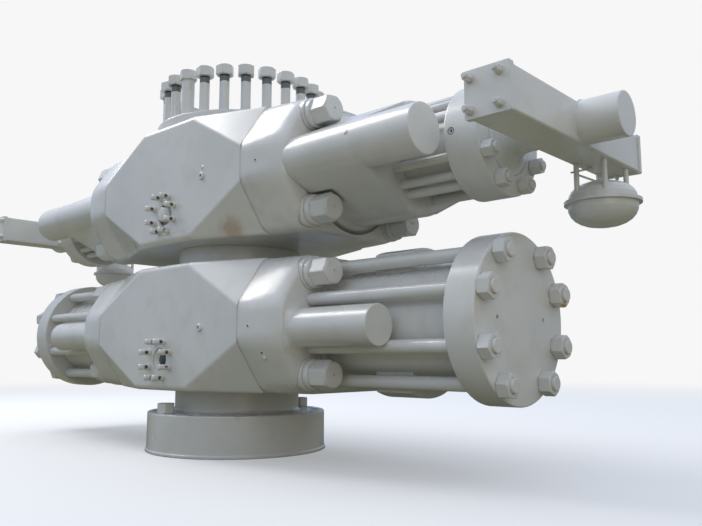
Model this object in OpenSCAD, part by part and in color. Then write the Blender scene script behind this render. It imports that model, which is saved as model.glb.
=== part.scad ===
// Double ram blowout preventer: a wellhead valve stack of two ram bodies on one flanged bore.
// The origin is the centre of the bottom flange's face. X runs along the rams, Z up the bore.

/* [Bore and base flange] */
// Radius of the open bore that runs up the whole stack
bore_r = 238.1; // [150:0.1:280]
// Radius of the bottom flange
flange_r = 520; // [515:1:560]
// Thickness of the bottom flange
flange_h = 223; // [120:1:300]
// How far the foot of the bottom flange stands proud of its rim
foot_lip = 7; // [2:1:15]
// Height of that foot
foot_lip_h = 18; // [8:1:40]
// Radius of the circle that the flange bolts stand on
bolt_circle_r = 462.8; // [450:0.1:465]
// Number of bolts round the flange
bolt_count = 24; // [12:4:28]
// Radius of a bolt hole
bolt_hole_r = 30.2; // [20:0.1:34]
// Width of a flange nut across its flats
nut_flats = 88.9; // [70:0.1:94]
// Height of a flange nut
nut_h = 56; // [30:1:80]

/* [Ram bodies] */
// Half of a ram body's height
body_half_h = 345; // [320:1:400]
// Half of a ram body's depth, from its axis to the flat front
body_half_d = 550; // [545:1:600]
// Distance of the raised round face's edge behind the front of its body
boss_step = 30; // [10:1:40]
// Distance from the bore to the seat of a bonnet
body_half_w = 662; // [640:1:760]
// Half of the flat top edge of a body's front face
front_top_half = 207; // [150:1:300]
// Half of the upright edge at the side of a body's front face
front_side_half = 94; // [80:1:140]
// Half of the depth of a body's top edge at its bonnet seat
seat_top_half = 378; // [350:1:430]
// Rounding of the edges of the bodies and bonnets
edge_r = 30; // [10:1:40]
// Radius of the necks below and between the bodies
neck_r = 365; // [330:1:380]
// Rounding at the foot of a neck
neck_fillet = 20; // [5:1:30]
// Height of the neck above the bottom flange
low_neck_h = 130; // [90:1:220]
// Height of the neck between the bodies
mid_neck_h = 120; // [60:1:220]
// Height of the raised round face on top of the stack
boss_h = 57; // [20:1:90]

/* [Side outlets] */
// Distance of a side outlet below the ram axis
outlet_drop = 178; // [160:1:190]
// Radius of the recess of a side outlet
outlet_r = 62; // [50:1:75]
// Depth of that recess
outlet_depth = 30; // [10:1:60]
// Radius of the bore in the recess
outlet_bore_r = 27; // [15:1:40]
// Radius of the circle of an outlet's studs
outlet_circle_r = 105; // [98:1:120]
// Number of studs round an outlet
outlet_stud_count = 8; // [6:1:10]
// Radius of an outlet's stud
outlet_stud_r = 16; // [8:0.5:18]
// How far an outlet's stud stands out
outlet_stud_h = 47; // [20:1:90]

/* [Top studs] */
// Radius of a top stud
stud_r = 28.5; // [20:0.1:30]
// Height of the top of the stud nuts above the raised face
stud_top_h = 272; // [200:1:400]
// Radius of the sleeve on one stud
sleeve_r = 37; // [34:0.5:45]

/* [Bonnets] */
// Thickness of a bonnet on its seat
bonnet_h = 278; // [220:1:300]
// How far a bonnet draws in from the front of its body to its outer face
bonnet_in = 57; // [40:1:70]
// Rounding of the corners of a bonnet's outline at its seat
seat_round = 110; // [30:1:150]
// Rounding of the corners of that outline at its outer face
bonnet_round = 190; // [60:1:220]
// Distance of a bonnet bolt in front of or behind the ram axis
bonnet_bolt_y = 310; // [300:1:325]
// Distance of a bonnet bolt from the top or bottom of its bonnet
bonnet_bolt_edge = 97; // [92:1:105]
// Radius of the round seat under a bonnet bolt
bolt_seat_r = 84; // [78:1:92]
// Thickness of that seat
bolt_seat_h = 16; // [8:1:30]
// Radius of the collar on a bonnet bolt
collar_r = 78; // [76:1:80]
// Thickness of that collar
collar_h = 32; // [20:1:60]
// Width of a bonnet bolt's head across its flats
bolt_head_flats = 128; // [110:1:132]
// Height of a bonnet bolt's head
bolt_head_h = 101; // [60:1:120]
// Height of the round end face of a bonnet bolt
bolt_end_h = 7; // [4:1:12]

/* [Lower ram ends] */
// Radius of a lower operating cylinder
low_cylinder_r = 272; // [262:1:276]
// Height of the lugs above and below a lower operating cylinder
lug_h = 85; // [20:1:110]
// Distance from the bore to the near end of a lug
lug_near_x = 1213; // [1000:1:1300]
// Length of a lug
lug_len = 220; // [150:1:400]
// Thickness of a lower end flange
low_flange_h = 149; // [100:1:200]
// Distance from the bore to the outer face of a lower end flange
low_end_x = 1914; // [1860:1:2030]
// Gap between a lower operating cylinder and its tie rods
low_rod_gap = 27; // [26:0.5:30]
// Width of a lower end flange outside its circle of tie rods
low_flange_edge = 46; // [40:1:80]
// Radius of a lower ram change cylinder
low_change_r = 94; // [70:1:95]
// How far a lower ram change cylinder hangs below the ram axis
low_change_drop = 24; // [0:1:24]
// Distance from the bore to the end of a lower ram change cylinder
low_change_x = 1445; // [1200:1:1600]
// Radius of the threaded holes in a lower end flange
lift_hole_r = 9; // [5:0.5:14]
// Distance of such a hole from the ram axis
lift_hole_y = 198; // [150:1:240]

/* [Upper ram ends] */
// Radius of an upper operating cylinder
high_cylinder_r = 178; // [150:1:182]
// Radius of the round shoulder on an upper bonnet
shoulder_r = 290; // [272:1:298]
// Distance from the bore to the face of that shoulder
shoulder_x = 1392; // [1200:1:1500]
// Rounding where that shoulder meets its bonnet
shoulder_fillet = 40; // [10:1:45]
// Thickness of an upper end flange
high_flange_h = 171; // [100:1:220]
// Distance from the bore to the outer face of an upper end flange
high_end_x = 1879; // [1800:1:1920]
// Gap between an upper operating cylinder and its tie rods
high_rod_gap = 26; // [20:0.5:32]
// Width of an upper end flange outside its circle of tie rods
high_flange_edge = 39; // [36:1:60]
// Radius of an upper ram change cylinder
high_change_r = 115; // [90:1:125]
// How far an upper ram change cylinder hangs below the ram axis
high_change_drop = 8; // [0:1:20]
// Distance from the bore to the end of an upper ram change cylinder
high_change_x = 1702; // [1500:1:1750]
// Radius of the port in the rim of an upper end flange
port_r = 7; // [4:0.5:12]

/* [Tie rods] */
// Radius of a lower tie rod
low_rod_r = 31.75; // [24:0.05:33]
// Width of a lower tie rod's nut across its flats
low_nut_flats = 98.4; // [80:0.1:102]
// Height of a lower tie rod's nut
low_nut_h = 55; // [40:1:70]
// Radius of an upper tie rod
high_rod_r = 22.2; // [16:0.05:28]
// Width of an upper tie rod's nut across its flats
high_nut_flats = 69.8; // [60:0.1:76]
// Height of an upper tie rod's nut
high_nut_h = 50; // [30:1:60]
// Length of a tie rod beyond its nut
rod_tip = 13; // [4:1:20]
// Gap round a tie rod in its flange and nut
rod_clearance = 0.4; // [0.2:0.1:1]
// Angle of the lower tie rods nearest the level of the ram
low_side_angle = 21; // [19:0.5:22]
// Angle of the lower tie rods nearest the top and bottom
low_top_angle = 57.5; // [56:0.5:60]
// Angle of the upper tie rods nearest the level of the ram
high_side_angle = 24.5; // [20:0.5:28]
// Angle of the upper tie rods nearest the top and bottom
high_top_angle = 63.5; // [60:0.5:66]
// Radius of the guide rods between the upper tie rods
guide_r = 20; // [10:0.5:24]
// Gap between a lower ram change cylinder and the nearest tie rods
change_gap = 1.5; // [1:0.5:8]

/* [Lock beams] */
// Width of a lock beam along the ram
beam_w = 182; // [180:1:200]
// Height of a lock beam
beam_h = 177; // [150:1:200]
// How far the middle of a lock beam lies below the ram axis
beam_drop = 15; // [8:1:30]
// Wall of a lock beam
beam_wall = 16; // [8:1:30]
// Length of a lock beam
beam_len = 1220; // [1000:1:1400]
// Gap between an upper end flange and its lock beam
beam_gap = 171; // [120:1:220]
// Thickness of the plate on each end of a lock beam
plate_h = 24; // [10:1:30]
// How far that plate stands proud of the beam all round
plate_lip = 6; // [1:0.5:8]
// Distance of a plate's bolts from the middle of their square, each way
plate_bolt = 62; // [50:1:62]
// How far that square lies from the plate's middle towards the bore
plate_bolt_in = 9; // [0:1:12]
// Height of such a bolt's nut
plate_nut_h = 28; // [16:1:32]
// How far the middle of a lock housing outside the beam lies below the ram axis
housing_drop = 8; // [0:1:20]
// Radius of a lock housing outside the beam
housing_r = 94; // [70:1:100]
// Radius of a lock housing between the end flange and the beam
inner_housing_r = 80; // [60:1:86]
// Rounding where that housing meets the end flange
housing_fillet = 92; // [10:1:95]
// Length of a lock housing outside the beam
housing_len = 180; // [80:1:260]

/* [Hanging pots] */
// Radius of a pot's rim
pot_r = 171; // [150:1:200]
// Radius of a pot's bowl under its rim
bowl_r = 156; // [140:1:166]
// Depth of a pot's bowl
bowl_h = 105; // [60:1:140]
// Height of a pot's domed lid
lid_h = 98; // [60:1:120]
// Height of the air gap between a pot's lid and its beam
pot_gap = 73; // [30:1:200]
// Distance of a pot from the end of its beam
pot_inset = 240; // [210:1:400]
// Radius of a pot's hanger rod
hanger_r = 12; // [8:0.5:18]
// Distance of a hanger rod from the pot's middle, along the ram
hanger_x = 65; // [50:1:70]
// Distance of a hanger rod from the pot's middle, along the beam
hanger_y = 122; // [60:1:124]

/* [Hidden] */
paint = "#d9dbd8";
steel = "#6c6e6c";
smooth = 96;
// Corner radius of a hexagon for a width of one across its flats
hex = 1 / sqrt(3);
// Depth by which a cutting shape runs past the face that it cuts
past = 1;

// Heights up the bore
low_body_z = flange_h + low_neck_h;
low_axis_z = low_body_z + body_half_h;
mid_neck_z = low_body_z + 2 * body_half_h;
high_body_z = mid_neck_z + mid_neck_h;
high_axis_z = high_body_z + body_half_h;
boss_z = high_body_z + 2 * body_half_h;
top_z = boss_z + boss_h;

// Places along the rams
bonnet_x = body_half_w + bonnet_h;
bonnet_bolt_z = body_half_h - bonnet_bolt_edge;
bolt_len = bolt_seat_h + collar_h + bolt_head_h + bolt_end_h;
boss_r = body_half_d - boss_step;
low_rod_circle_r = low_cylinder_r + low_rod_gap + low_rod_r;
high_rod_circle_r = high_cylinder_r + high_rod_gap + high_rod_r;
low_angles = [low_side_angle, low_top_angle];
high_angles = [high_side_angle, high_top_angle];
beam_x = high_end_x + beam_gap + beam_w;
beam_mid_x = beam_x - beam_w / 2;
beam_z = high_axis_z - beam_drop;

// Distance of a ram change cylinder in front of or behind the ram axis
change_y = low_rod_circle_r * cos(low_side_angle)
    + sqrt(pow(low_change_r + low_rod_r + change_gap, 2)
        - pow(low_rod_circle_r * sin(low_side_angle) - low_change_drop, 2));

// The corner facet of a body lies on three corners of the block that it cuts
facet_top = [front_top_half, body_half_d, body_half_h];
facet_side = [body_half_w, body_half_d, front_side_half];
facet_back = [body_half_w, seat_top_half, body_half_h];
facet_cross = cross(facet_back - facet_top, facet_side - facet_top);
facet_n = facet_cross / norm(facet_cross);
// Centre of the edge rounding where the front, the top and a facet meet
round_d = body_half_d - edge_r;
round_h = body_half_h - edge_r;
round_x = (facet_n * facet_top - edge_r - facet_n[1] * round_d - facet_n[2] * round_h) / facet_n[0];
// Direction of a facet's edge on the bonnet seat
seat_n = [facet_n[1], facet_n[2]] / norm([facet_n[1], facet_n[2]]);
seat_angle = atan2(seat_n[1], seat_n[0]);

// Points of an arc round a centre from the angle a to the angle b
function arc(cx, cy, r, a, b, n) =
    [for (i = [0 : n]) [cx + r * cos(a + (b - a) * i / n), cy + r * sin(a + (b - a) * i / n)]];

// Outline of a turned piece of radius r and height h, with a hollow fillet at its foot and a
// rounded far edge
function turned_outline(h, r, edge, foot) =
    concat([[0, 0]],
        foot > 0 ? arc(r + foot, foot, foot, 270, 180, 5) : [[r, 0]],
        arc(r - edge, h - edge, edge, 0, 90, 3),
        [[0, h]]);

module turned(h, r, edge, foot = 0) {
    rotate_extrude($fn = smooth) polygon(turned_outline(h, r, edge, foot));
}

// A disc with both of its edges rounded
module rounded_disc(h, r, edge) {
    rotate_extrude($fn = smooth) {
        polygon(concat([[0, 0]], arc(r - edge, edge, edge, 270, 360, 3),
            arc(r - edge, h - edge, edge, 0, 90, 3), [[0, h]]));
    }
}

// A six-sided nut or bolt head with its corners turned down at both ends
module hex_block(flats, h) {
    corner = flats * hex;
    slope = corner - flats / 2;
    intersection() {
        cylinder(h = h, r = corner, $fn = 6);
        rotate_extrude($fn = 48) {
            polygon([[0, 0], [flats / 2, 0], [corner, slope / 2], [corner, h - slope / 2],
                [flats / 2, h], [0, h]]);
        }
    }
}

module nut(flats, h, hole_r) {
    difference() {
        hex_block(flats, h);
        translate([0, 0, -past]) cylinder(h = h + 2 * past, r = hole_r, $fn = 32);
    }
}

// Lays a child that stands along Z down along X, from the point x
module along_x(x, y, z) {
    translate([x, y, z]) rotate([0, 90, 0]) children();
}

// Puts a child at each tie rod of a ram end, turned on its own axis as a nut comes to rest
module at_rods(circle_r, angles, x, z) {
    rows = [angles[0], angles[1], 180 - angles[1], 180 - angles[0]];
    for (i = [0 : 3]) {
        for (side = [-1, 1]) {
            along_x(x, circle_r * cos(rows[i]), z + side * circle_r * sin(rows[i])) {
                rotate([0, 0, 17 * i + 11 * side]) children();
            }
        }
    }
}

// Puts a child on each bolt position of the vertical flanges
module at_bolts(z) {
    for (i = [0 : bolt_count - 1]) {
        rotate([0, 0, (i + 0.5) * 360 / bolt_count]) translate([bolt_circle_r, 0, z]) children();
    }
}

// Mirrors a child to the left end of the rams
module left() {
    mirror([1, 0, 0]) children();
}

module base_flange() {
    color(paint) difference() {
        union() {
            rounded_disc(flange_h, flange_r, 8);
            rounded_disc(foot_lip_h, flange_r + foot_lip, 4);
        }
        translate([0, 0, -past]) cylinder(h = flange_h + 2 * past, r = bore_r, $fn = smooth);
        at_bolts(-past) cylinder(h = flange_h + 2 * past, r = bolt_hole_r, $fn = 32);
    }
}

// Two nuts are left on the bottom flange, at its front and at its rear
module base_nuts() {
    step = 360 / bolt_count;
    front = 270 - step / 2;
    color(paint) for (a = [front, front - 180]) {
        rotate([0, 0, a]) translate([bolt_circle_r, 0, flange_h]) {
            nut(nut_flats, nut_h, bolt_hole_r - 2);
        }
    }
}

// A round neck with a fillet at its foot, round the open bore
module neck(z, h, foot) {
    translate([0, 0, z]) difference() {
        rotate_extrude($fn = smooth) {
            polygon(concat([[0, 0]],
                foot > 0 ? arc(neck_r + foot, foot, foot, 270, 180, 5) : [[neck_r, 0]],
                [[neck_r, h], [0, h]]));
        }
        translate([0, 0, -past]) cylinder(h = h + 2 * past, r = bore_r, $fn = smooth);
    }
}

module lower_neck() {
    color(paint) neck(flange_h, low_neck_h, neck_fillet);
}

module middle_neck() {
    color(paint) neck(mid_neck_z, mid_neck_h, 0);
}

// One quarter of a bonnet seat's outline, with its two corners rounded by r
function seat_quarter(r) =
    let (off = seat_n * [body_half_d, front_side_half] - r,
        d = body_half_d - r,
        h = body_half_h - r)
    concat(arc(d, (off - seat_n[0] * d) / seat_n[1], r, 0, seat_angle, 4),
        arc((off - seat_n[1] * h) / seat_n[0], h, r, seat_angle, 90, 5));

// The whole outline, narrowed in depth and in height by the shares sy and sz
function seat_outline(r, sy, sz) =
    [for (p = seat_quarter(r)) for (my = [-sy, sy]) for (mz = [-sz, sz]) [my * p[0], mz * p[1]]];

// Points of a rounded corner where the front, the top and a facet of a body meet
function corner_points() =
    [for (k = [[1, 0, 0], [0, 1, 0], [0, 0, 1], [2, 1, 0], [1, 2, 0], [0, 2, 1], [0, 1, 2],
            [2, 0, 1], [1, 0, 2], [1, 1, 1]])
        let (d = k[0] * [0, 1, 0] + k[1] * [0, 0, 1] + k[2] * facet_n)
        [round_x, round_d, round_h] + edge_r * d / norm(d)];

// The convex solid round a list of points
module wrapped(points) {
    hull() {
        polyhedron(points = points, faces = [for (i = [0 : len(points) - 3]) [i, i + 1, i + 2]]);
    }
}

// The block of a ram body, with a sloping facet at each of its eight corners and soft edges
module body_block() {
    signs = [-1, 1];
    wrapped(concat(
        [for (sx = signs) for (sy = signs) for (sz = signs) for (p = corner_points())
            [sx * p[0], sy * p[1], sz * p[2]]],
        [for (sx = signs) for (p = seat_outline(edge_r, 1, 1)) [sx * body_half_w, p[0], p[1]]]));
}

// Puts a child at the side outlet on the front and on the rear of a body
module at_outlets(z) {
    for (turn = [0, 180]) {
        rotate([0, 0, turn]) translate([0, -body_half_d, z - outlet_drop]) {
            rotate([90, 0, 0]) children();
        }
    }
}

module outlet_cut() {
    translate([0, 0, -outlet_depth]) cylinder(h = outlet_depth + past, r = outlet_r, $fn = 48);
    translate([0, 0, -3 * outlet_depth]) {
        cylinder(h = 3 * outlet_depth, r = outlet_bore_r, $fn = 48);
    }
}

module ram_body(z, boss) {
    difference() {
        union() {
            translate([0, 0, z]) body_block();
            if (boss > 0) {
                translate([0, 0, z]) turned(body_half_h + boss, boss_r, 6);
            }
        }
        translate([0, 0, z - body_half_h - past]) {
            cylinder(h = 2 * body_half_h + boss + 2 * past, r = bore_r, $fn = smooth);
        }
        at_outlets(z) outlet_cut();
    }
}

module lower_body() {
    color(paint) ram_body(low_axis_z, 0);
}

module upper_body() {
    color(paint) ram_body(high_axis_z, boss_h);
}

module outlet_studs() {
    step = 360 / outlet_stud_count;
    color(paint) for (z = [low_axis_z, high_axis_z]) {
        at_outlets(z) for (i = [0 : outlet_stud_count - 1]) {
            rotate([0, 0, (i + 0.5) * step]) translate([outlet_circle_r, 0, 0]) {
                rotate_extrude($fn = 32) polygon(turned_outline(outlet_stud_h, outlet_stud_r, 3, 0));
            }
        }
    }
}

module top_studs() {
    color(steel) at_bolts(top_z) cylinder(h = stud_top_h - 12, r = stud_r, $fn = 32);
}

module top_nuts() {
    color(paint) at_bolts(top_z + stud_top_h - nut_h) difference() {
        hex_block(nut_flats, nut_h);
        translate([0, 0, -past]) cylinder(h = nut_h - 12 + past, r = stud_r, $fn = 32);
    }
}

// A thick sleeve stands round one stud, under its nut
module stud_sleeve() {
    step = 360 / bolt_count;
    color(paint) rotate([0, 0, 270 + step / 2]) translate([bolt_circle_r, 0, top_z]) difference() {
        cylinder(h = stud_top_h - nut_h, r = sleeve_r, $fn = 48);
        translate([0, 0, -past]) cylinder(h = stud_top_h, r = stud_r, $fn = 32);
    }
}

// A bonnet swells out of the facets of its body and curves in to its flat outer face
module bonnet() {
    in = bonnet_in / body_half_d;
    down = edge_r / body_half_h;
    wrapped([for (a = [0, 18, 36, 50, 62, 73, 82, 90])
        let (depth = bonnet_h * sin(a),
            past_edge = max(0, 1 - (bonnet_h - depth) / edge_r),
            sz = 1 - down * (1 - sqrt(1 - past_edge * past_edge)),
            r = seat_round + (bonnet_round - seat_round) * sin(a))
        for (p = seat_outline(r, 1 - in * (1 - cos(a)), sz)) [body_half_w + depth, p[0], p[1]]]);
}

module at_bonnet_bolts(x) {
    for (y = [-bonnet_bolt_y, bonnet_bolt_y]) {
        for (z = [-bonnet_bolt_z, bonnet_bolt_z]) {
            along_x(x, y, z) rotate([0, 0, y * z > 0 ? 10 : 36]) children();
        }
    }
}

// A bonnet bolt: collar, six-sided head and a flat round end with a centre mark
module bonnet_bolt() {
    groove = 4;
    low = bolt_seat_h + collar_h;
    end_r = bolt_head_flats / 2 - 1;
    translate([0, 0, bolt_seat_h]) rotate_extrude($fn = 64) {
        polygon([[0, -past], [collar_r - 2 * groove, -past], [collar_r - 2 * groove, groove],
            [collar_r, groove], [collar_r, collar_h - groove], [collar_r - groove, collar_h],
            [0, collar_h]]);
    }
    translate([0, 0, low]) hex_block(bolt_head_flats, bolt_head_h);
    translate([0, 0, low + bolt_head_h]) difference() {
        translate([0, 0, -past]) {
            rotate_extrude($fn = 64) polygon(turned_outline(bolt_end_h + past, end_r, 5, 0));
        }
        translate([0, 0, bolt_end_h - 5]) cylinder(h = 5 + past, r = 5, $fn = 24);
    }
}

// The bolts of a bonnet, on round seats that stand out of its curved edge
module bonnet_bolts() {
    difference() {
        at_bonnet_bolts(bonnet_x - bonnet_h / 2) {
            turned(bonnet_h / 2 + bolt_seat_h, bolt_seat_r, 4);
        }
        bonnet();
    }
    at_bonnet_bolts(bonnet_x) bonnet_bolt();
}

module tie_rods(x0, x1, r, circle_r, angles) {
    at_rods(circle_r, angles, x0, 0) turned(x1 - x0, r, 4);
}

module end_flange(x, h, r, circle_r, angles, rod_r) {
    difference() {
        along_x(x - h, 0, 0) rounded_disc(h, r, 7);
        at_rods(circle_r, angles, x - h - past, 0) {
            cylinder(h = h + 2 * past, r = rod_r + rod_clearance, $fn = 32);
        }
    }
}

module end_nuts(x, circle_r, angles, flats, h, rod_r) {
    at_rods(circle_r, angles, x, 0) nut(flats, h, rod_r + rod_clearance);
}

// Stands a child at the level of the lower ram
module lower() {
    color(paint) translate([0, 0, low_axis_z]) children();
}

// Stands a child at the level of the upper ram
module upper() {
    color(paint) translate([0, 0, high_axis_z]) children();
}

module lower_bonnet() {
    lower() bonnet();
}

module lower_bonnet_bolts() {
    lower() bonnet_bolts();
}

// The lower ram change cylinders, trimmed where they grow out of the bonnet's curved side
module lower_change_cylinders() {
    start = body_half_w + 20;
    lower() difference() {
        for (y = [-change_y, change_y]) {
            along_x(start, y, -low_change_drop) turned(low_change_x - start, low_change_r, 5);
        }
        bonnet();
    }
}

// The lower operating cylinder carries a lug above and a lug below, between the tie rods
module lower_operating_cylinder() {
    h = low_end_x - low_flange_h - bonnet_x;
    between = low_rod_circle_r * cos(low_top_angle) - low_rod_r - 6;
    lower() {
        along_x(bonnet_x, 0, 0) turned(h, low_cylinder_r, 3, 20);
        intersection() {
            along_x(lug_near_x, 0, 0) rounded_disc(lug_len, low_cylinder_r + lug_h, 8);
            translate([lug_near_x + lug_len / 2, 0, 0]) {
                cube([lug_len + 2 * past, 2 * between, 3 * low_cylinder_r], center = true);
            }
        }
    }
}

module lower_tie_rods() {
    x1 = low_end_x + low_nut_h + rod_tip;
    lower() tie_rods(bonnet_x, x1, low_rod_r, low_rod_circle_r, low_angles);
}

module lower_end_flange() {
    r = low_rod_circle_r + low_flange_edge;
    lower() difference() {
        end_flange(low_end_x, low_flange_h, r, low_rod_circle_r, low_angles, low_rod_r);
        for (y = [-lift_hole_y, lift_hole_y]) {
            along_x(low_end_x - 2 * lift_hole_r, y, 0) {
                cylinder(h = 2 * lift_hole_r + past, r = lift_hole_r, $fn = 24);
            }
        }
    }
}

module lower_end_nuts() {
    lower() end_nuts(low_end_x, low_rod_circle_r, low_angles, low_nut_flats, low_nut_h, low_rod_r);
}

module upper_bonnet() {
    upper() bonnet();
}

module upper_bonnet_bolts() {
    upper() bonnet_bolts();
}

// Section of the metal that fairs a ram change cylinder into the round shoulder beside it
module fairing(side) {
    c = [high_change_drop, side * change_y];
    turn = atan2(c[1], c[0]);
    spread = acos((shoulder_r - high_change_r) / norm(c));
    n = [for (k = [-1, 1]) [cos(turn + k * spread), sin(turn + k * spread)]];
    polygon([shoulder_r * n[0], c + high_change_r * n[0], c + high_change_r * n[1],
        shoulder_r * n[1]]);
    translate(c) circle(r = high_change_r, $fn = smooth);
}

// The round shoulder between a bonnet and its operating cylinder. It is forged in one with the
// roots of the ram change cylinders, and hollowed round the bolts.
module upper_shoulder() {
    start = body_half_w + 20;
    upper() difference() {
        union() {
            along_x(bonnet_x, 0, 0) {
                turned(shoulder_x - bonnet_x, shoulder_r, 16, shoulder_fillet);
            }
            for (side = [-1, 1]) {
                along_x(start, 0, 0) linear_extrude(height = shoulder_x - start) fairing(side);
            }
        }
        bonnet();
        at_bonnet_bolts(bonnet_x - bonnet_h / 2) {
            cylinder(h = bonnet_h / 2 + bolt_len + past, r = bolt_seat_r + 2, $fn = 64);
        }
    }
}

module upper_change_cylinders() {
    upper() for (y = [-change_y, change_y]) {
        along_x(shoulder_x, y, -high_change_drop) {
            turned(high_change_x - shoulder_x, high_change_r, 5);
        }
    }
}

module upper_operating_cylinder() {
    h = high_end_x - high_flange_h - shoulder_x;
    upper() along_x(shoulder_x, 0, 0) turned(h, high_cylinder_r, 2);
}

// Tie rods with nuts, and between each pair a plain guide rod that ends in the end flange
module upper_tie_rods() {
    x1 = high_end_x + high_nut_h + rod_tip;
    guide_angle = (high_side_angle + high_top_angle) / 2 + 3;
    guide_len = high_end_x - high_flange_h - shoulder_x;
    upper() {
        tie_rods(shoulder_x, x1, high_rod_r, high_rod_circle_r, high_angles);
        for (sy = [-1, 1]) {
            for (sz = [-1, 1]) {
                y = sy * high_rod_circle_r * cos(guide_angle);
                z = sz * high_rod_circle_r * sin(guide_angle);
                along_x(shoulder_x, y, z) cylinder(h = guide_len, r = guide_r, $fn = 32);
            }
        }
    }
}

module upper_end_flange() {
    r = high_rod_circle_r + high_flange_edge;
    port_x = high_end_x - 0.77 * high_flange_h;
    upper() difference() {
        end_flange(high_end_x, high_flange_h, r, high_rod_circle_r, high_angles, high_rod_r);
        translate([port_x, -r, 0]) rotate([-90, 0, 0]) {
            translate([0, 0, -past]) cylinder(h = 3 * port_r, r = port_r, $fn = 24);
            translate([0, 0, -past]) cylinder(h = 2.5 + past, r = 2 * port_r, $fn = 32);
        }
    }
}

module upper_end_nuts() {
    upper() {
        end_nuts(high_end_x, high_rod_circle_r, high_angles, high_nut_flats, high_nut_h, high_rod_r);
    }
}

// A rectangle with round corners
module round_square(w, h, r) {
    square([w - 2 * r, h], center = true);
    square([w, h - 2 * r], center = true);
    for (sx = [-1, 1]) {
        for (sy = [-1, 1]) {
            translate([sx * (w / 2 - r), sy * (h / 2 - r)]) circle(r = r, $fn = 32);
        }
    }
}

// A small bolt with a washer on the end plate of a beam
module plate_bolt() {
    washer = 6;
    cylinder(h = washer, r = 18, $fn = 32);
    translate([0, 0, washer]) hex_block(30, plate_nut_h);
    translate([0, 0, washer + plate_nut_h]) cylinder(h = 12, r = 10, $fn = 24);
}

// The closed box beam across the end of an upper ram, with a bolted plate on each end
module lock_beam() {
    long = beam_len - 2 * plate_h;
    color(paint) translate([beam_mid_x, 0, beam_z]) {
        rotate([90, 0, 0]) difference() {
            linear_extrude(height = long, center = true) round_square(beam_w, beam_h, 9);
            cube([beam_w - 2 * beam_wall, beam_h - 2 * beam_wall, long + past], center = true);
        }
        for (turn = [0, 180]) {
            rotate([0, 0, turn]) translate([0, -long / 2, 0]) rotate([90, 0, 0]) {
                linear_extrude(height = plate_h) {
                    round_square(beam_w + 2 * plate_lip, beam_h + 2 * plate_lip, 8);
                }
                for (sx = [-1, 1]) {
                    for (sy = [-1, 1]) {
                        in = cos(turn) * plate_bolt_in;
                        translate([sx * plate_bolt - in, sy * plate_bolt, plate_h]) {
                            rotate([0, 0, 20 * sx]) plate_bolt();
                        }
                    }
                }
            }
        }
    }
}

// The round housing of the lock, from the end flange to the beam and on beyond it
module lock_housing() {
    inner_len = beam_x - beam_w - high_end_x;
    color(paint) {
        along_x(high_end_x, 0, high_axis_z) turned(inner_len, inner_housing_r, 1, housing_fillet);
        along_x(beam_x, 0, high_axis_z - housing_drop) turned(housing_len, housing_r, 5);
    }
}

// Outline of a shallow bowl, from its rim to its middle
function bowl_outline(r, h, n) =
    [for (i = [0 : n]) [r * pow(cos(90 * i / n), 0.85), h * pow(sin(90 * i / n), 0.85)]];

// The pot that hangs under the rear of the beam on four rods
module pot() {
    rim_h = 8;
    under = beam_z - beam_h / 2;
    rim_z = under - pot_gap - lid_h;
    bowl = bowl_outline(bowl_r, bowl_h, 7);
    lid = bowl_outline(bowl_r - 4, lid_h, 7);
    color(paint) translate([beam_mid_x, beam_len / 2 - pot_inset, rim_z]) {
        rotate_extrude($fn = 64) {
            polygon(concat([for (i = [7 : -1 : 0]) [bowl[i][0], -bowl[i][1] - rim_h]],
                [[pot_r, -rim_h], [pot_r, rim_h], [bowl_r - 4, rim_h]],
                [for (p = lid) [p[0], p[1] * (lid_h - rim_h) / lid_h + rim_h]]));
        }
        for (sx = [-1, 1]) {
            for (sy = [-1, 1]) {
                translate([sx * hanger_x, sy * hanger_y, 0]) {
                    cylinder(h = under - rim_z, r = hanger_r, $fn = 24);
                }
            }
        }
    }
}

base_flange();
base_nuts();
lower_neck();
lower_body();
middle_neck();
upper_body();
outlet_studs();
top_studs();
top_nuts();
stud_sleeve();
lower_bonnet();  // lower_right_bonnet
lower_bonnet_bolts();  // lower_right_bonnet_bolts
lower_change_cylinders();  // lower_right_change_cylinders
lower_operating_cylinder();  // lower_right_operating_cylinder
lower_tie_rods();  // lower_right_tie_rods
lower_end_flange();  // lower_right_end_flange
lower_end_nuts();  // lower_right_end_nuts
left() lower_bonnet();  // lower_left_bonnet
left() lower_bonnet_bolts();  // lower_left_bonnet_bolts
left() lower_change_cylinders();  // lower_left_change_cylinders
left() lower_operating_cylinder();  // lower_left_operating_cylinder
left() lower_tie_rods();  // lower_left_tie_rods
left() lower_end_flange();  // lower_left_end_flange
left() lower_end_nuts();  // lower_left_end_nuts
upper_bonnet();  // upper_right_bonnet
upper_bonnet_bolts();  // upper_right_bonnet_bolts
upper_change_cylinders();  // upper_right_change_cylinders
upper_shoulder();  // upper_right_shoulder
upper_operating_cylinder();  // upper_right_operating_cylinder
upper_tie_rods();  // upper_right_tie_rods
upper_end_flange();  // upper_right_end_flange
upper_end_nuts();  // upper_right_end_nuts
left() upper_bonnet();  // upper_left_bonnet
left() upper_bonnet_bolts();  // upper_left_bonnet_bolts
left() upper_change_cylinders();  // upper_left_change_cylinders
left() upper_shoulder();  // upper_left_shoulder
left() upper_operating_cylinder();  // upper_left_operating_cylinder
left() upper_tie_rods();  // upper_left_tie_rods
left() upper_end_flange();  // upper_left_end_flange
left() upper_end_nuts();  // upper_left_end_nuts
lock_beam();  // right_lock_beam
lock_housing();  // right_lock_housing
pot();  // right_pot
left() lock_beam();  // left_lock_beam
left() lock_housing();  // left_lock_housing
left() pot();  // left_pot
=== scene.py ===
"""Double ram blowout preventer in thick white enamel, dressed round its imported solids.

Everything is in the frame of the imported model: X along the rams, Y to the rear, Z up the bore.
The frame is in metres. Profiles and the places of small pieces are in millimetres.
"""

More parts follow.
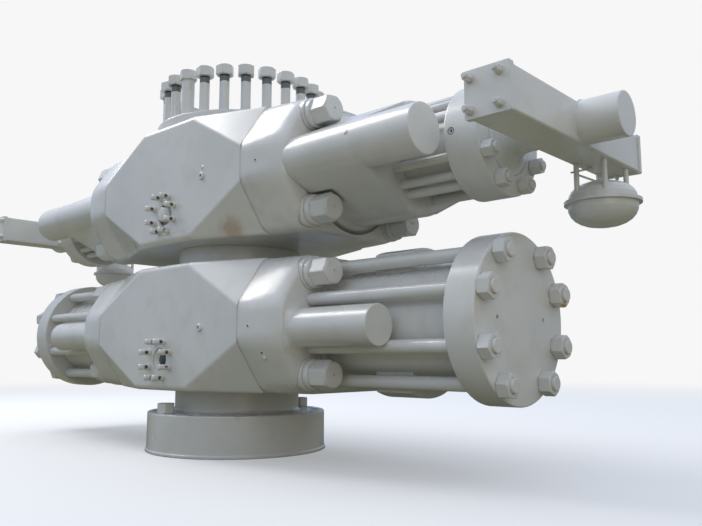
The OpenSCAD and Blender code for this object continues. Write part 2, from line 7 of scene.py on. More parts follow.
import math

import bmesh
import bpy
import numpy as np
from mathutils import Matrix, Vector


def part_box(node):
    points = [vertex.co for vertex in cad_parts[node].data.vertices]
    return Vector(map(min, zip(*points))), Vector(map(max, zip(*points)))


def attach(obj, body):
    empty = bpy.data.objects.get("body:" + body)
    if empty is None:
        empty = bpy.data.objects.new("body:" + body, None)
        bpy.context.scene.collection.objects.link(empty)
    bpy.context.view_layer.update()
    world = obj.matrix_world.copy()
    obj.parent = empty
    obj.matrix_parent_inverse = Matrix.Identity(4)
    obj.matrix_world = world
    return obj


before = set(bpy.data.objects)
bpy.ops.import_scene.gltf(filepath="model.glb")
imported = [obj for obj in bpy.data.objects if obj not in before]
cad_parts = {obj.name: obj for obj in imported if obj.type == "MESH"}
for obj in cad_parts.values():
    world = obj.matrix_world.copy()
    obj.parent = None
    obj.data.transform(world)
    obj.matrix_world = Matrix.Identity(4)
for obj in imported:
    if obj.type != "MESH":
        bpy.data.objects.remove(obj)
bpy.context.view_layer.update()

# Camera: the photograph was taken from near the ground in front of the right-hand end, looking
# slightly up. Place, turn and lens were fitted to the bottom flange and the bolt circles.
CAMERA_PLACE = (3.4569, -2.7877, 0.5349)
CAMERA_LIFT = 0.130
CAMERA_TURN = 0.738
FOCAL_PIXELS = 718.52
IMAGE_WIDTH = 702
SENSOR = 36.0

camera_data = bpy.data.cameras.new("camera")
camera_data.sensor_width = SENSOR
camera_data.lens = FOCAL_PIXELS / IMAGE_WIDTH * SENSOR
camera = bpy.data.objects.new("camera", camera_data)
camera.location = CAMERA_PLACE
camera.rotation_euler = (math.pi / 2 + CAMERA_LIFT, 0, CAMERA_TURN)
bpy.context.scene.collection.objects.link(camera)
bpy.context.scene.camera = camera
bpy.context.scene.view_settings.view_transform = "Standard"

# Bottom flange and the two necks: steel forgings turned on a lathe, then brushed with thick
# gloss enamel. The flange carries both bodies and bolts down to the wellhead.
MM = 0.001
WHITE = "#dcdcd9"
GREY_WHITE = "#cfd0cd"
WARM_GREY = "#c8c2b6"
DUST = "#b3ab98"
CORNER_SHADE = "#5f5646"
RUST = "#6b3d20"

# Sizes across of the paint's clouds, warm patches, dust, blots of painted corner shade, rust and
# changes of gloss. The brush marks are 1 to 2 mm wide on the real one, too fine to show, so they
# are drawn 14 mm wide.
CLOUD_MM = 700.0
PATCH_MM = 130.0
DUST_MM = 90.0
CORNER_SHADE_MM = 45.0
RUST_MM = 40.0
SHEEN_MM = 60.0
BRUSH_MM = 14.0
BRUSH_DEPTH = 0.10
GRAIN = 0.55

# How much the patches, dust and painted corner shade cover at most, and how far the occlusion test
# looks for a corner.
PATCH_SHARE = 0.35
DUST_SHARE = 0.35
CORNER_SHADE_SHARE = 0.45
CORNER = 30 * MM

# Dry gloss enamel: smooth where it is clean, rougher under dust, with a thin glossy skin.
ENAMEL_IOR = 1.5
CLEAN_ROUGHNESS = 0.17
SHEEN_CHANGE = 0.14
DUST_ROUGHNESS = 0.2
SKIN = 0.5
SKIN_ROUGHNESS = 0.2

SMOOTH = {"interpolation_type": "SMOOTHSTEP"}
COLOURS = {"data_type": "RGBA"}
TIMES = {"operation": "MULTIPLY"}
PLUS = {"operation": "ADD"}


def linear(colour):
    """An sRGB hex colour as linear red, green, blue and an alpha of 1."""
    parts = [int(colour[i : i + 2], 16) / 255 for i in (1, 3, 5)]
    parts = [p / 12.92 if p <= 0.04045 else ((p + 0.055) / 1.055) ** 2.4 for p in parts]
    return (*parts, 1.0)


def fill(tree, made, sockets):
    """Sets a node's sockets, by number or name, to plain values or to other nodes' outputs."""
    for key, value in sockets.items():
        if isinstance(value, bpy.types.NodeSocket):
            tree.links.new(value, made.inputs[key])
        else:
            made.inputs[key].default_value = value


def add(tree, kind, *values, out=None, **named):
    """Adds a node and gives its output: the first in use, or the one called out.

    Values go to the sockets in use, in their order. Of the named ones, those in small letters
    are settings, and the rest go to the socket of that name, with _ for a blank.
    """
    made = tree.nodes.new("ShaderNode" + kind)
    for name in filter(str.islower, named):
        setattr(made, name, named[name])
    in_use = [key for key, socket in enumerate(made.inputs) if socket.enabled]
    fill(tree, made, dict(zip(in_use, values)))
    fill(tree, made, {n.replace("_", " "): v for n, v in named.items() if not n.islower()})
    return made.outputs[out] if out else next((o for o in made.outputs if o.enabled), None)


def swell(tree, place, size_mm, height, detail=3.0):
    """Soft hills about size_mm across: noise times their height."""
    hills = add(tree, "TexNoise", Vector=place, Scale=1000 / size_mm, Detail=detail,
        Roughness=GRAIN)
    return add(tree, "Math", hills, height, **TIMES)


def blots(tree, place, size_mm, low, high, detail=3.0, top=1.0):
    """Blots about size_mm across: noise taken from 0 at low to top at high, smoothly."""
    hills = swell(tree, place, size_mm, 1.0, detail)
    return add(tree, "MapRange", hills, low, high, 0.0, top, **SMOOTH)


def near(tree, place, centre, radius):
    """A spot: 1 round a centre, falling to 0 at a distance of radius from it."""
    gap = add(tree, "VectorMath", place, centre, operation="DISTANCE")
    return add(tree, "MapRange", gap, radius, 0.25 * radius, **SMOOTH)


def enamel(name, wave_mm=260.0, wave_depth=1.4, soft=7.0, stains=(), extra=None):
    """Gloss alkyd enamel brushed thickly over steel.

    It gives the eye an off-white skin whose soft reflections wander over the uneven metal, with
    fine brush marks, a film of dust on top, painted shade in the corners and rust where water
    stands.
    The metal has waves of wave_mm by wave_depth mm, and its edges are rounded by soft mm. Each
    stain has a centre, a radius and a strength, and extra paints over the colour.
    """
    made = bpy.data.materials.new(name)
    made.use_nodes = True
    tree = made.node_tree
    place = add(tree, "TexCoord", out="Object")

    clouds = blots(tree, place, CLOUD_MM, 0.35, 0.7, detail=2.0)
    colour = add(tree, "Mix", clouds, linear(WHITE), linear(GREY_WHITE), **COLOURS)
    patches = blots(tree, place, PATCH_MM, 0.45, 0.75, detail=4.0, top=PATCH_SHARE)
    colour = add(tree, "Mix", patches, colour, linear(WARM_GREY), **COLOURS)

    up = add(tree, "SeparateXYZ", add(tree, "NewGeometry", out="Normal"), out="Z")
    level = add(tree, "MapRange", up, 0.5, 1.0, **SMOOTH)
    film = add(tree, "Math", level, blots(tree, place, DUST_MM, 0.3, 0.75), **TIMES)
    dusty = add(tree, "Math", film, DUST_SHARE, **TIMES)
    colour = add(tree, "Mix", dusty, colour, linear(DUST), **COLOURS)

    # Painted shade: patchy dark brown where the occlusion test finds a corner within CORNER.
    open_sky = add(tree, "AmbientOcclusion", samples=4, Distance=CORNER, out="AO")
    deep = add(tree, "MapRange", open_sky, 0.62, 0.25, **SMOOTH)
    corner_shade = add(tree, "Math", deep, blots(tree, place, CORNER_SHADE_MM, 0.35, 0.7), **TIMES)
    shaded = add(tree, "Math", corner_shade, CORNER_SHADE_SHARE, **TIMES)
    colour = add(tree, "Mix", shaded, colour, linear(CORNER_SHADE), **COLOURS)

    worn = 0.0
    for centre, radius, strength in stains:
        spot = add(tree, "Math", near(tree, place, centre, radius), strength, **TIMES)
        worn = add(tree, "Math", worn, spot, operation="MAXIMUM")
    if stains:
        ragged = blots(tree, place, RUST_MM, 0.38, 0.62, detail=5.0)
        worn = add(tree, "Math", worn, ragged, **TIMES)
        colour = add(tree, "Mix", worn, colour, linear(RUST), **COLOURS)
    if extra:
        colour = extra(tree, place, colour)

    sheen = swell(tree, place, SHEEN_MM, SHEEN_CHANGE)
    clean = add(tree, "Math", sheen, CLEAN_ROUGHNESS, **PLUS)
    rougher = add(tree, "Math", film, DUST_ROUGHNESS, **TIMES)
    roughness = add(tree, "Math", clean, rougher, **PLUS)

    radius = soft(tree, place) if callable(soft) else soft * MM
    rounded = add(tree, "Bevel", samples=8, Radius=radius)
    waves = swell(tree, place, wave_mm, wave_depth * MM, detail=2.0)
    marks = swell(tree, place, BRUSH_MM, BRUSH_DEPTH * MM)
    height = add(tree, "Math", waves, marks, **PLUS)
    bumpy = add(tree, "Bump", Strength=1.0, Distance=1.0, Height=height, Normal=rounded)

    fill(tree, tree.nodes["Principled BSDF"], {
        "Base Color": colour,
        "Roughness": roughness,
        "IOR": ENAMEL_IOR,
        "Coat Weight": SKIN,
        "Coat Roughness": SKIN_ROUGHNESS,
        "Normal": bumpy,
    })
    return made


def dress(material, *names):
    """Gives CAD nodes their finish."""
    for name in names:
        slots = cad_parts[name].data.materials
        slots.clear()
        slots.append(material)


# Turned metal under the paint: even, broad reflections, and two rust stains on the top face.
flange_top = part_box("base_flange")[1].z
flange_stains = [((0.38, -0.30, flange_top), 0.05, 0.6), ((-0.1, -0.49, flange_top), 0.04, 0.5)]
flange_paint = enamel("gloss enamel on turned forging", wave_depth=0.7, stains=flange_stains)
dress(flange_paint, "base_flange", "lower_neck", "middle_neck")

# Ram bodies: hand-forged steel blocks with sawn corner facets, stacked on the necks. Rust creeps
# round the plugs of the upper side outlets and down a lower facet.
OUTLET_DROP = 178 * MM
PLUG_RADIUS = 45 * MM
RECESS_RADIUS = 62 * MM
RUST_REACH = 1.25 * RECESS_RADIUS
SMEAR_PLACE = (0.50, -0.468, 1.20)
SMEAR_RADIUS = 100 * MM
SMEAR_BROWN = "#a67c50"
RING_SHARE = 0.75
SMEAR_SHARE = 0.55

body_low, body_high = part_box("lower_body")
body_half = (body_high.z - body_low.z) / 2
low_outlet = body_low.z + body_half - OUTLET_DROP
high_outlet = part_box("upper_body")[0].z + body_half - OUTLET_DROP


def plug_rust(tree, place, colour):
    """A brown ring round the upper outlet's plug, a band of the distance from the outlet's axis,
    and a paler smear on the facet beside it."""
    x, z = (add(tree, "SeparateXYZ", place, out=axis) for axis in "XZ")
    lift = add(tree, "Math", z, high_outlet, operation="SUBTRACT")
    away = add(tree, "VectorMath", add(tree, "CombineXYZ", x, lift), operation="LENGTH")
    outward = add(tree, "MapRange", away, PLUG_RADIUS, RECESS_RADIUS, **SMOOTH)
    inward = add(tree, "MapRange", away, RUST_REACH, RECESS_RADIUS, **SMOOTH)
    ring = add(tree, "Math", outward, inward, **TIMES)
    ring = add(tree, "Math", ring, blots(tree, place, 35.0, 0.40, 0.60, detail=5.0), **TIMES)
    ring = add(tree, "Math", ring, RING_SHARE, **TIMES)

    smear = near(tree, place, SMEAR_PLACE, SMEAR_RADIUS)
    smear = add(tree, "Math", smear, blots(tree, place, 60.0, 0.15, 0.5, detail=2.0), **TIMES)
    smear = add(tree, "Math", smear, SMEAR_SHARE, **TIMES)
    colour = add(tree, "Mix", smear, colour, linear(SMEAR_BROWN), **COLOURS)
    return add(tree, "Mix", ring, colour, linear(RUST), **COLOURS)


# Rough forged metal under the paint: deep, wide waves that make the reflections wander.
body_paint = enamel("gloss enamel on rough forging", wave_mm=330.0, wave_depth=3.0, soft=12.0,
    stains=[((-0.34, -0.51, 1.17), 0.08, 0.45)], extra=plug_rust)
dress(body_paint, "lower_body", "upper_body")

# Side outlets: screwed steel plugs in the upper ones, rings with oiled discs in the lower ones,
# and eight stud bolts round each. The same ones sit on the rear, half a turn round the bore.
TURNS = 48
SHARP = math.radians(35)
FORWARD = (0, -1, 0)
OUTLET_CIRCLE = 105.0
STUDS = 8
STUD_RADIUS = 16.0
SPOT_OUT = 30.0
SPOT_RADIUS = 17 * MM
DARK_RUST = "#2e1d12"
# Dark oiled steel, also used as painted shade in the holes and sockets it fills.
OILED_STEEL_AND_SHADE = "#3a403f"

front = body_low.y / MM
low_centre = (0, front, low_outlet / MM)
high_centre = (0, front, high_outlet / MM)
stud_angles = [2 * math.pi / STUDS * (i + 0.5) for i in range(STUDS)]


def ring_faces(rows, columns, closed=False):
    """Quads between the rows of a grid whose columns run round; the rows close too if asked."""
    i = np.arange(rows if closed else rows - 1)[:, None]
    j = np.arange(columns)[None, :]
    after, beside = (i + 1) % rows, (j + 1) % columns
    corners = [i * columns + j, i * columns + beside, after * columns + beside, after * columns + j]
    return np.stack(corners, -1).reshape(-1, 4)


def put(name, points, faces, material):
    """Makes a closed piece of points and faces that rides with the stack."""
    mesh = bpy.data.meshes.new(name)
    mesh.from_pydata(points.tolist(), [], faces.tolist())
    work = bmesh.new()
    work.from_mesh(mesh)
    bmesh.ops.remove_doubles(work, verts=work.verts, dist=1e-6)
    bmesh.ops.recalc_face_normals(work, faces=work.faces)
    work.to_mesh(mesh)
    work.free()
    mesh.shade_smooth()
    mesh.set_sharp_from_angle(angle=SHARP)
    mesh.materials.append(material)
    piece = bpy.data.objects.new(name, mesh)
    bpy.context.scene.collection.objects.link(piece)
    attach(piece, "root")


def lathe(profile, place, axis):
    """Points of a turned surface: place + height(u) * axis + radius(u) * (cos v, sin v) across."""
    axis = np.array(axis, float) / np.linalg.norm(axis)
    across = np.cross(axis, (0, 0, 1) if abs(axis[2]) < 0.9 else (1, 0, 0))
    across /= np.linalg.norm(across)
    up = np.cross(axis, across)
    v = np.linspace(0, 2 * math.pi, TURNS, endpoint=False)
    circle = np.cos(v)[:, None] * across + np.sin(v)[:, None] * up
    radii, heights = np.array(profile, float).T
    points = heights[:, None, None] * axis + radii[:, None, None] * circle
    return (np.array(place, float) + points).reshape(-1, 3)


def turned(name, profile, places, material, closed=False):
    """One piece of the same turned shape at several places, each given as a point and an axis.
    The profile is rows of radius and height, from the outer end to the seat."""
    count = len(profile) * TURNS
    points = np.concatenate([lathe(profile, place, axis) for place, axis in places]) * MM
    quads = ring_faces(len(profile), TURNS, closed)
    faces = np.concatenate([quads + i * count for i in range(len(places))])
    put(name, points, faces, material)


def both(*places):
    """Places and their twins half a turn round the bore."""
    return [pair for (x, y, z), (a, b, c) in places
        for pair in (((x, y, z), (a, b, c)), ((-x, -y, z), (-a, -b, c)))]


def oiled(tree, place, colour):
    """One dark colour all over, in place of the paint's: oiled steel, and painted shade in holes
    and sockets.
    """
    return linear(OILED_STEEL_AND_SHADE)


def stud_rust(tree, place, colour):
    """A bare rusty spot on the outward side of each outlet stud.

    Both outlets of both faces are folded on one another, so four spots make all thirty-two.
    """
    x, y, z = (add(tree, "SeparateXYZ", place, out=axis) for axis in "XYZ")
    side = add(tree, "Math", add(tree, "Math", y, operation="SIGN"), -1.0, **TIMES)
    drops = [add(tree, "Math", z, h, operation="SUBTRACT") for h in (low_outlet, high_outlet)]
    lifts = [add(tree, "Math", drop, operation="ABSOLUTE") for drop in drops]
    folded = add(tree, "CombineXYZ", add(tree, "Math", x, side, **TIMES),
        add(tree, "Math", y, operation="ABSOLUTE"), add(tree, "Math", *lifts, operation="MINIMUM"))
    for angle in stud_angles[: STUDS // 2]:
        centre = np.array((OUTLET_CIRCLE * math.cos(angle) + STUD_RADIUS, SPOT_OUT - front,
            OUTLET_CIRCLE * math.sin(angle))) * MM
        spot = add(tree, "Math", near(tree, folded, centre.tolist(), SPOT_RADIUS),
            blots(tree, place, 70.0, 0.36, 0.42), **TIMES)
        colour = add(tree, "Mix", spot, colour, linear(DARK_RUST), **COLOURS)
    return colour


# Thick paint on small pieces: bright round highlights on edges that have filled up.
fitting_paint = enamel("gloss enamel on small fittings", wave_mm=60.0, wave_depth=0.3, soft=1.5)
# Steel black with oil and dirt, which hides the metal's shine: dark dots among the white. The same
# dark discs in the bonnets' holes and the upper plugs' sockets are painted shade.
dark_steel_and_hole_shade = enamel("oiled steel and painted hole shade", wave_mm=60.0, wave_depth=0.2, soft=1.0,
    extra=oiled)
# The same paint with a dark rust spot on each stud.
stud_paint = enamel("gloss enamel on outlet studs", wave_mm=60.0, wave_depth=0.3, soft=2.0,
    extra=stud_rust)
dress(stud_paint, "outlet_studs")

turned("outlet_plugs",
    [[0, 22], [32, 22], [38, 19], [41, 13], [42, 0], [45, -6], [45, -29], [0, -29]],
    both((high_centre, FORWARD)), fitting_paint)
turned("outlet_rings",
    [[42, -21], [57, -5], [60, -4], [61, -6], [61, -29], [36, -29], [36, -22]],
    both((low_centre, FORWARD)), fitting_paint, closed=True)
turned("outlet_discs", [[0, -14], [25, -14], [28, -16], [29, -19], [29, -29], [0, -29]],
    both((low_centre, FORWARD)), dark_steel_and_hole_shade)
for level, (_, _, height), reach in (("lower", low_centre, 70), ("upper", high_centre, 64)):
    spots = [((OUTLET_CIRCLE * math.cos(a), front, height + OUTLET_CIRCLE * math.sin(a)), FORWARD)
        for a in stud_angles]
    turned(f"{level}_outlet_stud_ends",
        [[0, reach], [10, reach], [14, reach - 3], [15.5, reach - 7], [15.5, 40], [0, 40]],
        both(*spots), stud_paint)

# Body plugs and weld beads: small turned steel plugs screwed into each body's faces, and single
# beads of weld beside them, all painted over. The upper plug's hexagon socket is a dark disc of
# painted shade.
LOW_PLUG = (360, front, 686)
HIGH_PLUG = (345, front, 1494)
BODY_BEAD = (349, front, 1541)
TUBE_BEAD = (1349, -505, 1531)
TUBE_BEAD_FACING = (0, -0.96, 0.29)
turned("body_plugs", [[0, 2], [8, 2], [9, 12], [16, 12], [20, 8], [21, -4], [0, -4]],
    both((LOW_PLUG, FORWARD), (HIGH_PLUG, FORWARD)), fitting_paint)
# Painted shade: a dark disc fills the upper plugs' sockets.
turned("plug_socket_shade", [[0, 3], [6, 3], [6, -3], [0, -3]],
    both((HIGH_PLUG, FORWARD)), dark_steel_and_hole_shade)
turned("weld_beads", [[0, 6], [5, 5], [9, 3], [12, 0], [12, -4], [0, -4]],
    both((BODY_BEAD, FORWARD), (TUBE_BEAD, TUBE_BEAD_FACING)), fitting_paint)

# Top studs and heavy nuts: stud bolts of alloy steel with a thick coat of paint. The nuts were
# painted where they stand, so a dark bare band of thread shows under each one.
BARE_BAND = 40 * MM
RAGGED = 16 * MM
PAINT_EDGE = 1.5 * MM
SHADE_LINE = 5 * MM
# The real pitch of about 3 mm is too fine to show, so it is drawn 6 mm.
THREAD = 6 * MM
STEEL = "#757b7c"
# Thread roots darker as painted shade, and a painted shadow just under each nut.
THREAD_ROOT_SHADE = "#4c5152"
NUT_SHADOW = "#1f2122"
OCHRE = "#bb8a1e"
OCHRE_PLACE = (1.975, 0.302, 0.768)
OCHRE_RADIUS = 32 * MM

nut_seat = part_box("top_nuts")[0].z


def bare_band(tree, place, colour):
    """Bare dark thread from the nut's underside down to the ragged edge of the paint. The thread's
    stripes carry painted shade in their roots, and a painted shadow darkens it just under the nut.
    """
    height = add(tree, "SeparateXYZ", place, out="Z")
    edge = add(tree, "Math", height, swell(tree, place, 60.0, RAGGED), **PLUS)
    start = nut_seat - BARE_BAND + RAGGED / 2
    band = add(tree, "MapRange", edge, start, start + PAINT_EDGE, **SMOOTH)
    # Painted shade: the thread is drawn as stripes, darker in the roots.
    turn = add(tree, "Math", height, 2 * math.pi / THREAD, **TIMES)
    thread = add(tree, "MapRange", add(tree, "Math", turn, operation="SINE"), -0.6, 0.6, **SMOOTH)
    steel = add(tree, "Mix", thread, linear(THREAD_ROOT_SHADE), linear(STEEL), **COLOURS)
    # Painted shadow: the steel darkens to near black just under the nut.
    under = add(tree, "MapRange", height, nut_seat - 2 * SHADE_LINE, nut_seat - SHADE_LINE,
        **SMOOTH)
    steel = add(tree, "Mix", under, steel, linear(NUT_SHADOW), **COLOURS)
    return add(tree, "Mix", band, colour, steel, **COLOURS)


def ochre_rust(tree, place, colour):
    """A blot of ochre rust under one stud end of the lower right end flange."""
    blot = near(tree, place, OCHRE_PLACE, OCHRE_RADIUS)
    return add(tree, "Mix", blot, colour, linear(OCHRE), **COLOURS)


# Paint on bar: straight, clean highlights, cut off at the dark band.
top_stud_paint = enamel("enamel on stud bolts", wave_depth=0.4, soft=2.0, extra=bare_band)
dress(top_stud_paint, "top_studs")
# Paint on forged hexagons: softened corners and flats that catch the light one by one.
nut_paint = enamel("enamel on heavy nuts", wave_mm=80.0, wave_depth=0.6, soft=6.0,
    extra=ochre_rust)
dress(nut_paint, "top_nuts", "base_nuts", "stud_sleeve")

# Bonnets and their bolts: forgings machined on their seats and hand-ground at the edges, bolted to
# the bodies' ends. Small bosses, holes and one capped port sit on their front and rear; the holes
# are dark discs of painted shade.
ENDS = ["lower_right", "lower_left", "upper_right", "upper_left"]
BOSSES = [((776, -544, 1503), (0.13, -0.99, 0)), ((744, -547, 684), (0.03, -1, 0))]
LOWER_FACET = (0.08, -0.83, -0.56)
DRILLED = ((805, -508, 554), LOWER_FACET)
CAPPED = ((809, -492, 531), LOWER_FACET)

# Ground forging under the paint: no hard edge anywhere, broad blurred highlights.
bonnet_paint = enamel("gloss enamel on ground forging", wave_mm=300.0, wave_depth=2.4, soft=36.0)
# Several coats that have filled the corners of the bolt heads.
bolt_paint = enamel("thick enamel on bonnet bolts", wave_mm=80.0, wave_depth=0.8, soft=16.0)
for end in ENDS:
    dress(bonnet_paint, f"{end}_bonnet")
    dress(bolt_paint, f"{end}_bonnet_bolts")
# Painted shade: dark discs stand in the bonnets' holes.
turned("bonnet_hole_shade", [[0, 1], [5, 1], [5.5, -3], [0, -3]],
    both(*BOSSES, DRILLED), dark_steel_and_hole_shade)
turned("bonnet_bosses", [[6, 2], [9, 2], [11, 0], [11, -5], [6, -5]],
    both(*BOSSES), fitting_paint, closed=True)
turned("bonnet_caps", [[0, 10], [8, 10], [11, 7], [12, 0], [12, -6], [0, -6]],
    both(CAPPED), fitting_paint)

# Ram change cylinders and the upper shoulders: thick drawn tube welded to forged shoulders. Where
# each lower cylinder leaves its bonnet the forging flares, and the bonnet's edge cuts that short.
FLARE = 42.0
FACE_HALF = 488.0
# The foot's edge sinks a little into the cylinder, and two inner rows go into the metal behind.
SINK = 0.5
INNER_SHARE = 0.8
INNER_STEPS = [[-1.0], [-30.0]]
FLARE_ROWS = 9

change_low, change_high = (np.array(c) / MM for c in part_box("lower_right_change_cylinders"))
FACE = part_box("lower_right_bonnet")[1].x / MM
CHANGE_RADIUS = (change_high[2] - change_low[2]) / 2
CHANGE_Y = change_high[1] - CHANGE_RADIUS
CHANGE_Z = (change_high[2] + change_low[2]) / 2


def below(level, under, over):
    """A rounding of edges in mm: under below a level, over above it."""
    def radius(tree, place):
        height = add(tree, "SeparateXYZ", place, out="Z")
        more = add(tree, "MapRange", height, level + 10 * MM, level - 25 * MM,
            0.0, (under - over) * MM, **SMOOTH)
        return add(tree, "Math", more, over * MM, **PLUS)
    return radius


def flare_foot(mirror_x, mirror_y):
    """A cylinder's foot: radius(u, v) = cylinder + reach(v) * (1 - sin u), x(u) = face + flare *
    (1 - cos u), for u from 0 to a quarter turn, with reach(v) cut short by the face's edge. Two
    inner rows close it inside the cylinder and the bonnet."""
    u = np.linspace(0, math.pi / 2, FLARE_ROWS)[:, None]
    v = np.linspace(0, 2 * math.pi, TURNS, endpoint=False)[None, :]
    room = np.where(np.cos(v) > 0.05, (FACE_HALF - CHANGE_Y) / np.maximum(np.cos(v), 0.05), np.inf)
    reach = np.clip(room - CHANGE_RADIUS, SINK, FLARE)
    radius = CHANGE_RADIUS - SINK + (reach + SINK) * (1 - np.sin(u))
    along = FACE + FLARE * (1 - np.cos(u)) + 0 * v
    outer = np.stack([along, CHANGE_Y + radius * np.cos(v), CHANGE_Z + radius * np.sin(v)], -1)
    inner = outer[[-1, 0]].copy()
    middle = np.array([CHANGE_Y, CHANGE_Z])
    inner[:, :, 1:] = middle + (inner[:, :, 1:] - middle) * INNER_SHARE
    inner[:, :, 0] += np.array(INNER_STEPS)
    points = np.concatenate([outer, inner]).reshape(-1, 3) * MM
    return points * (mirror_x, mirror_y, 1)


# Smooth tube under the paint: one long, wavering highlight along its top.
tube_paint = enamel("gloss enamel on drawn tube", wave_mm=300.0, wave_depth=2.0, soft=3.0)
for end in ENDS:
    dress(tube_paint, f"{end}_change_cylinders")
# Welded and ground forging: as the tube above, with its lower edges rounded off.
tube_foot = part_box("upper_right_change_cylinders")[0].z
shoulder_paint = enamel("gloss enamel on welded forging", wave_mm=300.0, wave_depth=2.0,
    soft=below(tube_foot, 30.0, 3.0))
dress(shoulder_paint, "upper_right_shoulder", "upper_left_shoulder")
# Paint on plain round bar: narrow, even highlights. The feet are as smooth.
rod_paint = enamel("gloss enamel on tie rods", wave_mm=120.0, wave_depth=0.5, soft=2.0)
feet = [flare_foot(a, b) for a in (1, -1) for b in (1, -1)]
foot_rows = FLARE_ROWS + len(INNER_STEPS)
foot_faces = ring_faces(foot_rows, TURNS, closed=True)
put("change_cylinder_feet", np.concatenate(feet),
    np.concatenate([foot_faces + i * foot_rows * TURNS for i in range(len(feet))]), rod_paint)

# Operating cylinders, tie rods, end flanges and their nuts: turned steel, held together by the
# rods. A thin steel ring seals the port in the front of each upper end flange's rim.
PORT_SHARE = 0.77
PORT_RING_RADIUS = 15
PORT_RING_THICK = 1.6


def bead(radius, thick):
    """Profile of a round bead bent into a ring: radius + thick * cos u, thick * sin u."""
    u = np.linspace(0, 2 * math.pi, 10, endpoint=False)
    return np.stack([radius + thick * np.cos(u), thick * np.sin(u)], 1)


# Turned faces under the paint: flat, calm surfaces with slightly eased edges.
smooth_paint = enamel("gloss enamel on turned steel", wave_depth=0.6, soft=5.0)
for end in ENDS:
    dress(smooth_paint, f"{end}_operating_cylinder", f"{end}_end_flange")
    dress(rod_paint, f"{end}_tie_rods")
    dress(nut_paint, f"{end}_end_nuts")

rim_low, rim_high = (np.array(corner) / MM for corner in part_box("upper_right_end_flange"))
port_x = rim_high[0] - PORT_SHARE * (rim_high[0] - rim_low[0])
ram_z = (rim_high[2] + rim_low[2]) / 2
turned("port_rings", bead(PORT_RING_RADIUS, PORT_RING_THICK),
    [((s * port_x, rim_low[1], ram_z), FORWARD) for s in (1, -1)],
    dark_steel_and_hole_shade, closed=True)

# Lock beams and lock housings: beams of welded plate across the upper ram's ends, with a length
# of pipe through each. A bead of weld runs round the pipe on both sides of the beam.
LIP = 6.0
HOUSING_DROP = 8.0
OUTER_RADIUS = 94.0
INNER_RADIUS = 80.0

beam_low, beam_high = (np.array(corner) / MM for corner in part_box("right_lock_beam"))
beam_in, beam_out, beam_under = beam_low[0] + LIP, beam_high[0] - LIP, beam_low[2] + LIP

# Rolled plate under the paint: the flattest surfaces, with crisp edges.
beam_paint = enamel("gloss enamel on rolled plate", wave_mm=180.0, wave_depth=0.6, soft=3.0)
for side in ("right", "left"):
    dress(beam_paint, f"{side}_lock_beam", f"{side}_lock_housing")
turned("outer_welds", bead(OUTER_RADIUS + 1, 4),
    [((s * beam_out, 0, ram_z - HOUSING_DROP), (s, 0, 0)) for s in (1, -1)],
    beam_paint, closed=True)
turned("inner_welds", bead(INNER_RADIUS + 1, 5),
    [((s * beam_in, 0, ram_z), (s, 0, 0)) for s in (1, -1)], beam_paint, closed=True)

# Pots: pressed steel bowls that hang under the beams. Two thin bars of steel rod brace each one's
# hangers, one up to the beam and one across, with two small clamps behind the rear hangers.
POT_RIM = 1.2335
BAR_TURNS = 16
BAR_CAP_ROWS = 5
BAR_RADIUS = 4.5
CROSS_BAR_RADIUS = 5.0
CLAMP_RADIUS = 9.0

pot_low, pot_high = (np.array(corner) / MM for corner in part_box("right_pot"))
pot_x, pot_y = (beam_out + beam_in) / 2, (pot_low[1] + pot_high[1]) / 2


def bar(start, end, radius):
    """A round bar between two points whose radius follows sqrt(1 - u^2) over the last radius of
    its length at each end, and how many rows of points it has."""
    start, end = np.array(start, float), np.array(end, float)
    length = np.linalg.norm(end - start)
    way = (end - start) / length
    across = np.cross(way, (0, 0, 1) if abs(way[2]) < 0.9 else (0, 1, 0))
    across /= np.linalg.norm(across)
    up = np.cross(way, across)
    u = np.sin(np.linspace(0, math.pi / 2, BAR_CAP_ROWS))
    cap = radius * np.sqrt(1 - u[::-1] ** 2)
    heights = np.concatenate([radius * (1 - u[::-1]), length - radius * (1 - u)])
    widths = np.concatenate([cap, cap[::-1]])
    v = np.linspace(0, 2 * math.pi, BAR_TURNS, endpoint=False)
    circle = np.cos(v)[:, None] * across + np.sin(v)[:, None] * up
    points = start + heights[:, None, None] * way + widths[:, None, None] * circle
    return points.reshape(-1, 3), len(heights)


def bars(name, ends, material):
    """Several bars as one piece, with their twins at the other end of the ram."""
    points, faces, start = [], [], 0
    for mirror in (1, -1):
        for one in ends:
            made, rows = bar(*one)
            points.append(made * MM * (mirror, 1, 1))
            faces.append(ring_faces(rows, BAR_TURNS) + start)
            start += len(made)
    put(name, np.concatenate(points), np.concatenate(faces), material)


def by_pot(x, y, drop):
    """A point beside a pot: offsets from its middle and a drop below the beam."""
    return (pot_x + x, pot_y + y, beam_under - drop)


# Pressed sheet under the paint: a soft sheen that runs round the bowl.
pot_paint = enamel("gloss enamel on pressed steel", wave_mm=180.0, wave_depth=0.8,
    soft=below(POT_RIM - 25 * MM, 32.0, 4.0))
dress(pot_paint, "right_pot", "left_pot")
bars("pot_stays", [
    (by_pot(-84, -138, 42), by_pot(-42, 2, 0), BAR_RADIUS),
    (by_pot(-65, -122, 50), by_pot(-65, 120, 42), CROSS_BAR_RADIUS),
], beam_paint)
bars("pot_clamps", [
    (by_pot(-15, 188, -6), by_pot(-15, 188, 20), CLAMP_RADIUS),
    (by_pot(-15, 220, -6), by_pot(-15, 220, 24), CLAMP_RADIUS),
], beam_paint)

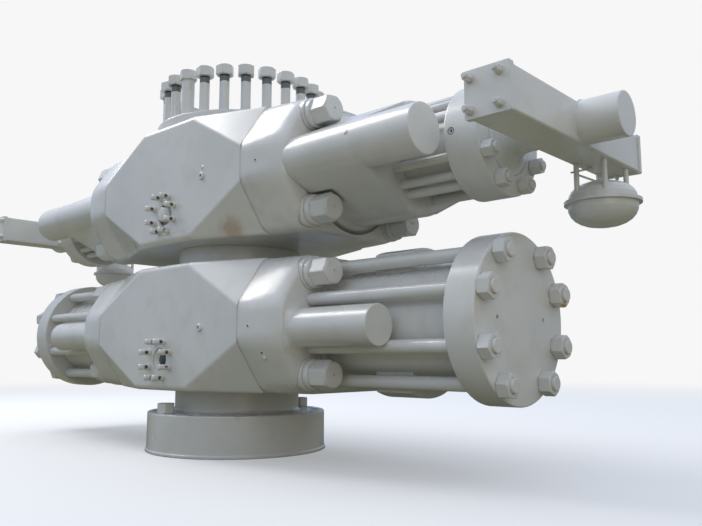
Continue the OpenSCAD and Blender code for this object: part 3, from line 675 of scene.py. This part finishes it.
# Studio: a matt floor that the camera sees pale, fading into a pale surround, and that other rays
# see as dim ground. The sky is soft, cooler to the left. Four wide lamps add the highlights.
FLOOR_RADIUS = 60.0
FLOOR_SIDES = 96
FADE_START = 4.0
FADE_END = 14.0
PALE = "#f7f7f7"
FLOOR_TONE = "#d1d1d1"
FLOOR_GLOW = "#868686"
BOUNCE_TONE = "#8e8b75"
MIRROR_TONE = "#72705a"
COOL_HORIZON = "#8799b3"
WARM_HORIZON = "#a19c90"
ZENITH = "#dde8fb"
SKY_STRENGTH = 1.05

v = np.linspace(0, 2 * math.pi, FLOOR_SIDES, endpoint=False)
rim = FLOOR_RADIUS * np.stack([np.cos(v), np.sin(v), 0 * v], 1)
floor_mesh = bpy.data.meshes.new("floor")
floor_mesh.from_pydata(rim.tolist(), [], [list(range(FLOOR_SIDES))])
floor = bpy.data.objects.new("floor", floor_mesh)
bpy.context.scene.collection.objects.link(floor)

floor_finish = bpy.data.materials.new("matt studio floor")
floor_finish.use_nodes = True
tree = floor_finish.node_tree
tree.nodes.clear()
lit_floor = add(tree, "AddShader", add(tree, "BsdfDiffuse", linear(FLOOR_TONE)),
    add(tree, "Emission", linear(FLOOR_GLOW), 1.0))
away = add(tree, "VectorMath", add(tree, "TexCoord", out="Object"), operation="LENGTH")
fading = add(tree, "MapRange", away, FADE_START, FADE_END, **SMOOTH)
shown = add(tree, "MixShader", fading, lit_floor, add(tree, "Emission", linear(PALE), 1.0))
ground = add(tree, "Mix", add(tree, "LightPath", out="Is Glossy Ray"), linear(BOUNCE_TONE),
    linear(MIRROR_TONE), **COLOURS)
camera_ray = add(tree, "LightPath", out="Is Camera Ray")
mixed = add(tree, "MixShader", camera_ray, add(tree, "BsdfDiffuse", ground), shown)
add(tree, "OutputMaterial", Surface=mixed)
floor_mesh.materials.append(floor_finish)

world = bpy.data.worlds.new("studio")
bpy.context.scene.world = world
world.use_nodes = True
tree = world.node_tree
tree.nodes.clear()
direction = add(tree, "TexCoord", out="Generated")
to_right, lift = (add(tree, "SeparateXYZ", direction, out=axis) for axis in "XZ")
warming = add(tree, "MapRange", to_right, 0.1, 0.9, **SMOOTH)
horizon = add(tree, "Mix", warming, linear(COOL_HORIZON), linear(WARM_HORIZON), **COLOURS)
rising = add(tree, "MapRange", lift, -0.05, 0.8, **SMOOTH)
sky = add(tree, "Mix", rising, horizon, linear(ZENITH), **COLOURS)
chosen = add(tree, "MixShader", add(tree, "LightPath", out="Is Camera Ray"),
    add(tree, "Background", sky, SKY_STRENGTH), add(tree, "Background", linear(PALE), 1.0))
add(tree, "OutputWorld", Surface=chosen)


def soft_light(name, place, target, size, watts, colour):
    """A square lamp that faces a point."""
    data = bpy.data.lights.new(name, "AREA")
    data.size = size
    data.energy = watts
    data.color = linear(colour)[:3]
    lamp = bpy.data.objects.new(name, data)
    back = np.array(place) - np.array(target)
    lamp.location = place
    lamp.rotation_euler = (math.acos(back[2] / np.linalg.norm(back)), 0,
        math.atan2(back[1], back[0]) + math.pi / 2)
    bpy.context.scene.collection.objects.link(lamp)


soft_light("key", place=(-4.6, -1.5, 7.0), target=(0.6, -0.3, 1.2), size=4.0, watts=310,
    colour="#fffaf2")
soft_light("rim", place=(-6.0, 3.4, 5.4), target=(0.8, 0, 1.2), size=3.0, watts=38,
    colour="#f6f8ff")
soft_light("fill", place=(3.6, -7.0, 5.0), target=(1.0, 0, 1.0), size=5.0, watts=20,
    colour="#d8e3f8")
soft_light("side", place=(7.0, -4.2, 2.0), target=(0.6, 0, 0.7), size=4.0, watts=48,
    colour="#fff0dc")
